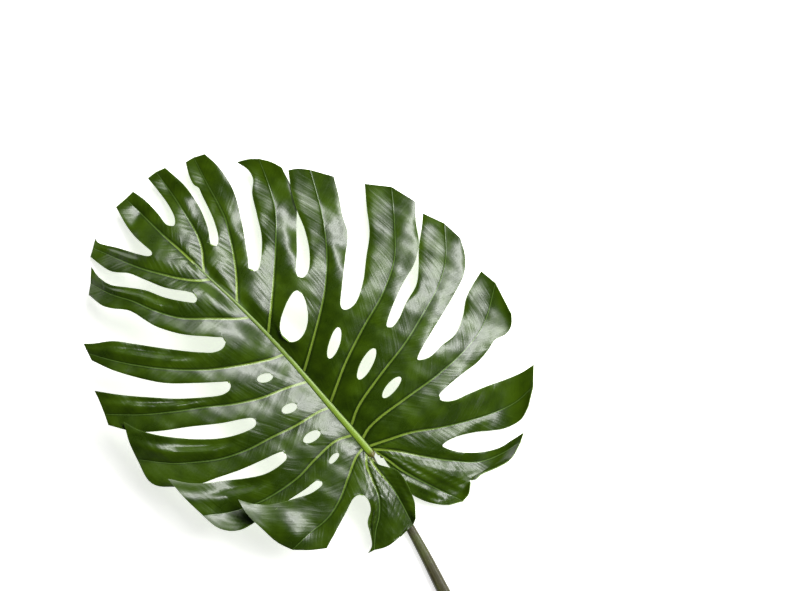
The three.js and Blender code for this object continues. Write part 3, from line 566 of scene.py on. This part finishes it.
def joinAll(name, parts, weldAt=0.02):
    bpy.ops.object.select_all(action="DESELECT")
    for part in parts:
        part.select_set(True)
    bpy.context.view_layer.objects.active = parts[0]
    if len(parts) > 1:
        bpy.ops.object.join()
    whole = bpy.context.object
    whole.name = name
    whole.data.name = name
    bpy.ops.object.mode_set(mode="EDIT")
    bpy.ops.mesh.select_all(action="SELECT")
    bpy.ops.mesh.remove_doubles(threshold=weldAt * mm)
    bpy.ops.object.mode_set(mode="OBJECT")
    return whole


def applyModifier(piece, kind, **settings):
    bpy.context.view_layer.objects.active = piece
    modifier = piece.modifiers.new(kind.lower(), kind)
    for key, value in settings.items():
        setattr(modifier, key, value)
    bpy.ops.object.modifier_apply(modifier=modifier.name)


def finishPiece(piece, node, smoothAngle=40):
    bpy.ops.object.select_all(action="DESELECT")
    piece.select_set(True)
    bpy.context.view_layer.objects.active = piece
    bpy.ops.object.shade_smooth_by_angle(angle=math.radians(smoothAngle))
    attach(piece, "root")
    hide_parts(node)


def newMaterial(name):
    material = bpy.data.materials.new(name)
    material.use_nodes = True
    tree = material.node_tree
    tree.nodes.clear()
    return material, tree


def add(tree, kind, inputs=None, stops=(), **settings):
    # adds a node with its settings and colour stops; an input takes a value or another node's output
    node = tree.nodes.new("ShaderNode" + kind)
    for key, value in settings.items():
        setattr(node, key, value)
    for key, value in (inputs or {}).items():
        if isinstance(value, bpy.types.NodeSocket):
            tree.links.new(value, node.inputs[key])
        else:
            node.inputs[key].default_value = value
    if stops:
        node.color_ramp.interpolation = "EASE"
        while len(node.color_ramp.elements) < len(stops):
            node.color_ramp.elements.new(0.5)
        for element, (place, grey) in zip(node.color_ramp.elements, stops):
            element.position = place
            element.color = (grey, grey, grey, 1)
    return node


def perMetre(spacing):
    # how often a pattern whose spacing is in millimetres comes in a metre
    return 1 / (spacing * mm)


def addPlainSkin(tree, look, base, height):
    # the relief, the gloss and the output of a skin without a waxy coat
    bump = add(tree, "Bump", {"Height": height, "Strength": look["bump"], "Distance": look["bumpDeep"]})
    skin = add(tree, "BsdfPrincipled", {
        "Base Color": base, "Normal": bump.outputs["Normal"],
        "Roughness": look["roughness"], "IOR": look["ior"]})
    add(tree, "OutputMaterial", {"Surface": skin.outputs["BSDF"]})


# a Mix node's colour sockets, which share their names with its other sockets
mixShare, mixFirst, mixSecond, mixed = 0, 6, 7, 2


def leafUpperSkin():
    # living leaf under a waxy cuticle: deep green, glossy, with fine ribbing that breaks up the shine, and
    # painted shade in a dark band along each side of the veins
    look = {
        "deep": "1F3200", "fresh": "354C00", "edge": "4E6626",
        # the first colour on the next line is painted shade, laid in a band along each side of a vein
        "veinBase": "748C30", "veinPale": "4C6626", "paintedShadeBesideVein": "142302",
        "patch": 24, "ribSpacing": 3.8, "ribLong": 42, "grain": 0.7,      # mm
        "ribTint": 0.35, "grainShare": 0.06, "bump": 0.5, "bumpDeep": 0.8 * mm,
        "paintedShadeReach": 8, "veinReach": 4, "edgeReach": 4,      # half widths of the vein, twice, and mm
        "gloss": (0.22, 0.14), "coat": 0.3, "coatRoughness": 0.28, "ior": 1.45,
    }
    material, tree = newMaterial("waxyLeafUpper")
    place = add(tree, "TexCoord").outputs["Object"]
    veinMap = add(tree, "UVMap", uv_map="veinMap").outputs["UV"]
    parts = add(tree, "SeparateXYZ", {"Vector": veinMap}).outputs
    slanted = add(tree, "Math", {0: parts["Y"], 1: parts["X"]}, operation="SUBTRACT").outputs[0]
    acrossRibs = add(tree, "Math", {0: slanted, 1: perMetre(look["ribSpacing"])}, operation="MULTIPLY")
    alongRibs = add(tree, "Math", {0: parts["X"], 1: perMetre(look["ribLong"])}, operation="MULTIPLY")
    ribPlace = add(tree, "CombineXYZ", {"X": acrossRibs.outputs[0], "Y": alongRibs.outputs[0]})
    ribs = add(tree, "TexNoise", {
        "Vector": ribPlace.outputs["Vector"], "Scale": 1, "Detail": 3, "Roughness": 0.55}).outputs["Fac"]
    grain = add(tree, "TexNoise", {
        "Vector": place, "Scale": perMetre(look["grain"]), "Detail": 1}).outputs["Fac"]
    patches = add(tree, "TexNoise", {
        "Vector": place, "Scale": perMetre(look["patch"]), "Detail": 3}).outputs["Fac"]
    veinAcross = add(tree, "Attribute", attribute_name="veinAcross").outputs["Fac"]
    edgeAcross = add(tree, "Attribute", attribute_name="edgeAcross").outputs["Fac"]
    lobeShare = add(tree, "Attribute", attribute_name="lobeShare").outputs["Fac"]

    onPatch = add(tree, "ValToRGB", {"Fac": patches}, stops=[(0.35, 0), (0.7, 1)]).outputs["Color"]
    green = add(tree, "Mix", {
        mixShare: onPatch, mixFirst: colour(look["deep"]), mixSecond: colour(look["fresh"])},
        data_type="RGBA").outputs[mixed]
    onRib = add(tree, "Math", {0: ribs, 1: look["ribTint"]}, operation="MULTIPLY").outputs[0]
    # each ramp below runs over its reach: out from the vein, or in from the edge
    # painted shade: a dark band along each side of the vein, darkest just past its edge, where the fold
    # beside the vein lies in shade
    besideVein = add(tree, "Math", {0: veinAcross, 1: look["paintedShadeReach"]}, operation="DIVIDE").outputs[0]
    onPaintedShade = add(tree, "ValToRGB", {"Fac": besideVein},
                  stops=[(0.08, 0), (0.16, 0.75), (0.5, 0)]).outputs["Color"]
    nearVein = add(tree, "Math", {0: veinAcross, 1: look["veinReach"]}, operation="DIVIDE").outputs[0]
    onVein = add(tree, "ValToRGB", {"Fac": nearVein}, stops=[(0.16, 0.9), (0.34, 0)]).outputs["Color"]
    outwards = add(tree, "ValToRGB", {"Fac": lobeShare}, stops=[(0.05, 0), (0.55, 1)]).outputs["Color"]
    veinColour = add(tree, "Mix", {
        mixShare: outwards, mixFirst: colour(look["veinBase"]), mixSecond: colour(look["veinPale"])},
        data_type="RGBA").outputs[mixed]
    nearEdge = add(tree, "Math", {0: edgeAcross, 1: look["edgeReach"]}, operation="DIVIDE").outputs[0]
    onEdge = add(tree, "ValToRGB", {"Fac": nearEdge}, stops=[(0.1, 0.5), (0.3, 0)]).outputs["Color"]
    # painted over each other in this order: where each shows, and its colour
    for share, tint in ((onRib, colour(look["fresh"])), (onPaintedShade, colour(look["paintedShadeBesideVein"])),
                        (onVein, veinColour), (onEdge, colour(look["edge"]))):
        green = add(tree, "Mix", {mixShare: share, mixFirst: green, mixSecond: tint},
                    data_type="RGBA").outputs[mixed]

    fine = add(tree, "Math", {0: grain, 1: look["grainShare"]}, operation="MULTIPLY").outputs[0]
    height = add(tree, "Math", {0: ribs, 1: fine}, operation="ADD").outputs[0]
    bump = add(tree, "Bump", {
        "Height": height, "Strength": look["bump"], "Distance": look["bumpDeep"]}).outputs["Normal"]
    smoothest, spread = look["gloss"]
    roughness = add(tree, "Math", {0: patches, 1: spread, 2: smoothest}, operation="MULTIPLY_ADD").outputs[0]
    skin = add(tree, "BsdfPrincipled", {
        "Base Color": green, "Roughness": roughness, "Normal": bump, "IOR": look["ior"],
        "Coat Weight": look["coat"], "Coat Roughness": look["coatRoughness"]}).outputs["BSDF"]
    add(tree, "OutputMaterial", {"Surface": skin})
    return material


def leafUnderSkin():
    # the duller, paler lower side, where the veins stand out
    look = {
        "pale": "6F8A3C", "fresh": "5F7D2E", "vein": "8FA45A",
        "patch": 30, "grain": 10 / 9, "veinReach": 6,      # mm, and half widths of the vein
        "bump": 0.3, "bumpDeep": 0.4 * mm, "roughness": 0.5, "ior": 1.45,
    }
    material, tree = newMaterial("dullLeafUnder")
    place = add(tree, "TexCoord").outputs["Object"]
    patches = add(tree, "TexNoise", {
        "Vector": place, "Scale": perMetre(look["patch"]), "Detail": 3}).outputs["Fac"]
    green = add(tree, "Mix", {
        mixShare: patches, mixFirst: colour(look["pale"]), mixSecond: colour(look["fresh"])},
        data_type="RGBA").outputs[mixed]
    veinAcross = add(tree, "Attribute", attribute_name="veinAcross").outputs["Fac"]
    nearVein = add(tree, "Math", {0: veinAcross, 1: look["veinReach"]}, operation="DIVIDE").outputs[0]
    onVein = add(tree, "ValToRGB", {"Fac": nearVein}, stops=[(0.2, 0.9), (0.5, 0)]).outputs["Color"]
    green = add(tree, "Mix", {mixShare: onVein, mixFirst: green, mixSecond: colour(look["vein"])},
                data_type="RGBA").outputs[mixed]
    grain = add(tree, "TexNoise", {
        "Vector": place, "Scale": perMetre(look["grain"]), "Detail": 2}).outputs["Fac"]
    addPlainSkin(tree, look, green, grain)
    return material


def midribSkin():
    # the fleshy midrib: bright yellow-green near the stalk, paler and duller towards the tip, with painted
    # shade along both its sides
    look = {
        # the shade colour darkens the fine threads, the midrib's own tone, and is also painted shade along
        # its sides
        "base": "7E9C28", "upper": "738A4C", "shade": "2E4210", "end": "55491F",
        "threadWide": 10 / 9, "threadLong": 50 / 3, "threadTint": 0.3,      # mm, mm and a share
        "bump": 0.3, "bumpDeep": 0.4 * mm, "roughness": 0.4, "ior": 1.45,
    }
    material, tree = newMaterial("fleshyMidrib")
    place = add(tree, "TexCoord").outputs["Object"]
    ribShare = add(tree, "Attribute", attribute_name="ribShare").outputs["Fac"]
    ribAcross = add(tree, "Attribute", attribute_name="ribAcross").outputs["Fac"]
    green = add(tree, "Mix", {
        mixShare: ribShare, mixFirst: colour(look["base"]), mixSecond: colour(look["upper"])},
        data_type="RGBA").outputs[mixed]
    scales = [perMetre(look[key]) for key in ("threadWide", "threadLong", "threadWide")]
    stretched = add(tree, "Mapping", {"Vector": place, "Scale": scales}).outputs["Vector"]
    threads = add(tree, "TexNoise", {"Vector": stretched, "Scale": 1, "Detail": 2}).outputs["Fac"]
    onThread = add(tree, "Math", {0: threads, 1: look["threadTint"]}, operation="MULTIPLY").outputs[0]
    # painted shade: the dark colour laid along both sides of the midrib, where its round flanks turn down
    # into the blade
    onPaintedSideShade = add(tree, "ValToRGB", {"Fac": ribAcross}, stops=[(0.5, 0), (0.95, 1)]).outputs["Color"]
    onEnd = add(tree, "ValToRGB", {"Fac": ribShare}, stops=[(0.01, 0.9), (0.035, 0)]).outputs["Color"]
    for share, tint in ((onThread, look["shade"]), (onPaintedSideShade, look["shade"]), (onEnd, look["end"])):
        green = add(tree, "Mix", {mixShare: share, mixFirst: green, mixSecond: colour(tint)},
                    data_type="RGBA").outputs[mixed]
    addPlainSkin(tree, look, green, threads)
    return material


def stalkSkin():
    # smooth green-brown skin with fine lengthwise threads, olive where the sun has reached it
    look = {
        "olive": "403D22", "green": "4C5426", "dark": "2B2A16", "fleck": "7B7A4A",
        "patch": 200 / 9, "threadWide": 5 / 7, "threadLong": 25, "fleckSpacing": 25 / 13,      # mm
        "bump": 0.35, "bumpDeep": 0.4 * mm, "roughness": 0.42, "ior": 1.45,
    }
    material, tree = newMaterial("smoothStalk")
    veinMap = add(tree, "UVMap", uv_map="veinMap").outputs["UV"]
    scales = (perMetre(look["threadWide"]), perMetre(look["threadLong"]), 1)
    threadsAt = add(tree, "Mapping", {"Vector": veinMap, "Scale": scales}).outputs["Vector"]
    threads = add(tree, "TexNoise", {"Vector": threadsAt, "Scale": 1, "Detail": 3}).outputs["Fac"]
    place = add(tree, "TexCoord").outputs["Object"]
    patches = add(tree, "TexNoise", {
        "Vector": place, "Scale": perMetre(look["patch"]), "Detail": 4}).outputs["Fac"]
    flecks = add(tree, "TexNoise", {
        "Vector": place, "Scale": perMetre(look["fleckSpacing"]), "Detail": 1}).outputs["Fac"]
    onPatch = add(tree, "ValToRGB", {"Fac": patches}, stops=[(0.4, 0), (0.65, 1)]).outputs["Color"]
    skinColour = add(tree, "Mix", {
        mixShare: onPatch, mixFirst: colour(look["olive"]), mixSecond: colour(look["green"])},
        data_type="RGBA").outputs[mixed]
    onThread = add(tree, "ValToRGB", {"Fac": threads}, stops=[(0.42, 0.6), (0.6, 0)]).outputs["Color"]
    onFleck = add(tree, "ValToRGB", {"Fac": flecks}, stops=[(0.68, 0), (0.74, 0.6)]).outputs["Color"]
    for share, tint in ((onThread, look["dark"]), (onFleck, look["fleck"])):
        skinColour = add(tree, "Mix", {mixShare: share, mixFirst: skinColour, mixSecond: colour(tint)},
                         data_type="RGBA").outputs[mixed]
    addPlainSkin(tree, look, skinColour, threads)
    return material


def cutStalk():
    # the freshly cut end: pale wet flesh with darker strands through it
    look = {
        "flesh": "B4BC84", "strand": "6E6B3A", "strandSpacing": 1.3,
        "bump": 0.4, "bumpDeep": 0.4 * mm, "roughness": 0.35, "ior": 1.4,
    }
    material, tree = newMaterial("cutStalkFlesh")
    place = add(tree, "TexCoord").outputs["Object"]
    cells = add(tree, "TexVoronoi", {
        "Vector": place, "Scale": perMetre(look["strandSpacing"])}).outputs["Distance"]
    onStrand = add(tree, "ValToRGB", {"Fac": cells}, stops=[(0.12, 1), (0.3, 0)]).outputs["Color"]
    flesh = add(tree, "Mix", {
        mixShare: onStrand, mixFirst: colour(look["flesh"]), mixSecond: colour(look["strand"])},
        data_type="RGBA").outputs[mixed]
    addPlainSkin(tree, look, flesh, cells)
    return material


studio = {
    "aim": (129.9, 94.9),        # plan point in the middle of the view
    "turn": -42.29,              # degrees the view is turned about the vertical
    "viewWidth": 832,
    "lens": 150, "sensor": 36,
    "floorColour": "F4F3F0", "floorSize": 9000, "floorGlow": 0.72,
    # a wide dim softbox with a brighter strip in front of it, so that the shine is strongest in the middle
    "softboxes": {
        "wideBox": {"from": 37, "side": 0, "distance": 1500, "wide": 1120, "long": 2500, "power": 25},
        "brightStrip": {"from": 40, "side": 0, "distance": 1450, "wide": 360, "long": 1800, "power": 29},
    },
    "lightAt": 120,              # how far up the blade the softboxes point
    "skyColour": "E9EDF2", "skyAbove": 0.03, "skyAround": 0.15,
}


def placeInFrame():
    # how far the blade's plan box, from the knee, is from the same box in the frame
    low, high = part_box("leaf_blade")
    reach = [np.concatenate([np.array(h[axis]).ravel() for h in halves]) for axis in ("x", "y")]
    return [(low[i] + high[i]) / 2 / mm - (r.min() + r.max()) / 2 for i, r in enumerate(reach)]


halves = [halfLobe(i, before) for i in range(len(lobes)) for before in (True, False)]
shiftX, shiftY = placeInFrame()


def inFrame(x, y, z):
    return np.stack([x + shiftX, y + shiftY, z], axis=-1)


def lookFromAbove():
    distance = studio["viewWidth"] * studio["lens"] / studio["sensor"]
    x, y = studio["aim"]
    bpy.ops.object.camera_add(
        location=Vector((x + shiftX, y + shiftY, distance)) * mm,
        rotation=(0, 0, math.radians(studio["turn"])))
    camera = bpy.context.object
    camera.data.lens, camera.data.sensor_width = studio["lens"], studio["sensor"]
    bpy.context.scene.camera = camera


def softLight(name, light):
    tilt, side = math.radians(light["from"]), math.radians(light["side"])
    direction = Vector((math.sin(tilt) * math.cos(side), math.sin(tilt) * math.sin(side), math.cos(tilt)))
    target = Vector((shiftX, shiftY + studio["lightAt"], 0)) * mm
    bpy.ops.object.light_add(type="AREA", location=target + direction * light["distance"] * mm)
    lamp = bpy.context.object
    lamp.name = name
    lamp.data.shape = "RECTANGLE"
    lamp.data.size, lamp.data.size_y = light["wide"] * mm, light["long"] * mm
    lamp.data.energy = light["power"]
    lamp.rotation_euler = (0, tilt, side)


def setStudio():
    bpy.ops.mesh.primitive_plane_add(size=studio["floorSize"] * mm)
    floor = bpy.context.object
    floor.name = "floor"
    material, tree = newMaterial("paleStudioFloor")
    paint = add(tree, "BsdfPrincipled", {
        "Base Color": colour(studio["floorColour"]), "Roughness": 0.9,
        "Emission Color": (1, 1, 1, 1), "Emission Strength": studio["floorGlow"]}).outputs["BSDF"]
    add(tree, "OutputMaterial", {"Surface": paint})
    floor.data.materials.append(material)
    for name, light in studio["softboxes"].items():
        softLight(name, light)
    world = bpy.data.worlds.new("studioSky")
    world.use_nodes = True
    tree = world.node_tree
    tree.nodes.clear()
    direction = add(tree, "TexCoord").outputs["Generated"]
    upward = add(tree, "SeparateXYZ", {"Vector": direction}).outputs["Z"]
    stops = [(0.02, studio["skyAround"]), (0.3, studio["skyAbove"])]
    strength = add(tree, "ValToRGB", {"Fac": upward}, stops=stops).outputs["Color"]
    sky = add(tree, "Background", {"Strength": strength, "Color": colour(studio["skyColour"])})
    add(tree, "OutputWorld", {"Surface": sky.outputs["Background"]})
    bpy.context.scene.world = world
    bpy.context.scene.view_settings.view_transform = "Standard"


lookFromAbove()
setStudio()
print("studio ready")


def makeBlade(name, chosen, materials):
    sheets = []
    for index in chosen:
        half = halves[index]
        keys = ("across", "along", "thick", "veinAcross", "edgeAcross", "lobeShare")
        values = {key: half[key] for key in keys}
        placed = inFrame(half["x"], half["y"], half["z"])
        sheet = addSheet(f"half{index}", placed, values, flip=index % 2 == 0)
        mapPlaces(sheet, "across", "along")
        sheets.append(sheet)
    piece = joinAll(name, sheets)
    group = piece.vertex_groups.new(name="thickness")
    thick = np.empty(len(piece.data.vertices), np.float32)
    piece.data.attributes["thick"].data.foreach_get("value", thick)
    for index, weight in enumerate(thick):
        group.add([index], float(weight), "REPLACE")
    for material in materials:
        piece.data.materials.append(material)
    applyModifier(
        piece, "SOLIDIFY", thickness=(blade["thickness"] + blade["veinUnder"][0]) * mm, offset=-1,
        vertex_group="thickness", thickness_vertex_group=0, material_offset=1, material_offset_rim=1)
    finishPiece(piece, "leaf_blade")


upper, under = leafUpperSkin(), leafUnderSkin()
tipLobe = next(i for i, lobe in enumerate(lobes) if lobe["side"] == 0)
makeBlade("bladeLeft", range(0, 2 * tipLobe + 1), (upper, under))
makeBlade("bladeRight", range(2 * tipLobe + 1, len(halves)), (upper, under))
print("blade made")


def makeMidrib():
    sides, stations = midrib["sides"], midrib["stations"]
    share = np.linspace(0, 1, stations + 1)[:, None]
    centre = at(ribLine, share[:, 0])
    y = centre[:, 1:] + 0 * share
    t = alongRib(y)
    fromBase = np.clip((y - ribBase) / midrib["roundEnd"], 0, 1)
    half = (blend(midrib["half"], t) + midrib["lap"]) * np.sqrt(np.maximum(0.02, 1 - (1 - fromBase) ** 2))
    angle = np.linspace(0, 2 * math.pi, sides + 1)[None, :]
    across = np.cos(angle) * half
    up = np.sin(angle)
    crown = blend(midrib["crown"], t) + midrib["sunk"]
    deep = blend(midrib["deep"], t)
    level = laidDown(domeHeight(centre[:, :1], y)) - midrib["sunk"]
    z = level + np.where(up > 0, crown * np.abs(up) ** midrib["crownShape"], -deep * np.abs(up))
    along = np.gradient(centre, axis=0)
    along /= np.linalg.norm(along, axis=1)[:, None]
    x = centre[:, :1] + along[:, 1:] * across
    y = y - along[:, :1] * across
    z = np.maximum(z, midrib["lowest"])
    values = {"ribShare": t + 0 * across, "ribAcross": np.abs(np.cos(angle)) + 0 * across}
    sheet = addSheet("midribSheet", inFrame(x, y, z), values, flip=False)
    piece = joinAll("midrib", [sheet])
    closeEnds(piece)
    piece.data.materials.append(midribSkin())
    finishPiece(piece, "leaf_blade", smoothAngle=60)


def closeEnds(piece):
    bpy.ops.object.mode_set(mode="EDIT")
    bpy.ops.mesh.select_all(action="DESELECT")
    bpy.ops.mesh.select_mode(type="VERT")
    bpy.ops.mesh.select_non_manifold()
    bpy.ops.mesh.edge_face_add()
    bpy.ops.mesh.select_all(action="SELECT")
    bpy.ops.mesh.normals_make_consistent(inside=False)
    bpy.ops.object.mode_set(mode="OBJECT")


makeMidrib()
print("midrib made")


stalk = {
    # plan x, plan y, radius
    "line": [(-3.5, -2, 4.3), (-8, -14, 4.6), (-14, -42, 4.5), (-24.5, -90, 4.9), (-33, -125, 5.8),
             (-42, -158, 6.5), (-54, -205, 7), (-65, -255, 7.3), (-73, -300, 7.5)],
    "kneeHigh": 21.4, "kneeRun": 76, "swell": 0.1, "swellAt": 26, "swellLong": 22,
    "channel": 0.16, "channelRun": 80, "channelShape": 6,
    "ridge": 0.07, "ridges": 13, "ridgeTurn": 0.6, "ridgeRun": 60,
    "sides": 48, "stations": 220, "skinRadius": 6.5,
    "cutReach": 3,      # the face this near the end is the cut
}


def makeStalk():
    spine = lineThrough(stalk["line"])
    sides, stations = stalk["sides"], stalk["stations"]
    spots = at(spine, np.linspace(0, 1, stations + 1))
    run = np.linalg.norm(spots[:, :2] - spots[0, :2], axis=1)
    swollen = stalk["swell"] * np.exp(-((run - stalk["swellAt"]) / stalk["swellLong"]) ** 2)
    radius = spots[:, 2] * (1 + swollen)
    rise = 1 - smooth(run / stalk["kneeRun"])
    centre = np.column_stack([spots[:, :2], radius + (stalk["kneeHigh"] - radius) * rise])
    along = np.gradient(centre, axis=0)
    along /= np.linalg.norm(along, axis=1)[:, None]
    sideways = np.column_stack([-along[:, 1], along[:, 0], 0 * run])
    sideways /= np.linalg.norm(sideways, axis=1)[:, None]
    up = np.cross(along, sideways)
    up *= np.sign(up[:, 2:])
    angle = np.linspace(0, 2 * math.pi, sides + 1)
    onTop = np.maximum(0, np.cos(angle))[None, :] ** stalk["channelShape"]
    groove = 1 - stalk["channel"] * smooth(run / stalk["channelRun"])[:, None] * onTop
    ridged = stalk["ridge"] * np.sin(stalk["ridges"] * angle + stalk["ridgeTurn"])[None, :]
    ridged = ridged * smooth(run / stalk["ridgeRun"])[:, None]
    size = radius[:, None] * groove + ridged
    points = centre[:, None] + (np.sin(angle) * size)[..., None] * sideways[:, None] \
        + (np.cos(angle) * size)[..., None] * up[:, None]
    points[..., 2] = np.maximum(points[..., 2], 0)
    values = {"around": (angle * stalk["skinRadius"])[None, :] + 0 * size, "run": run[:, None] + 0 * size}
    placed = inFrame(points[..., 0], points[..., 1], points[..., 2])
    sheet = addSheet("stalkSheet", placed, values, flip=False)
    mapPlaces(sheet, "around", "run")
    piece = joinAll("stalk", [sheet])
    closeEnds(piece)
    piece.data.materials.append(stalkSkin())
    piece.data.materials.append(cutStalk())
    end = Vector(centre[-1] + np.array([shiftX, shiftY, 0])) * mm
    for face in piece.data.polygons:
        if len(face.vertices) > 4 and (face.center - end).length < stalk["cutReach"] * mm:
            face.material_index = 1
    finishPiece(piece, "leaf_stalk", smoothAngle=50)


makeStalk()
print("stalk made")
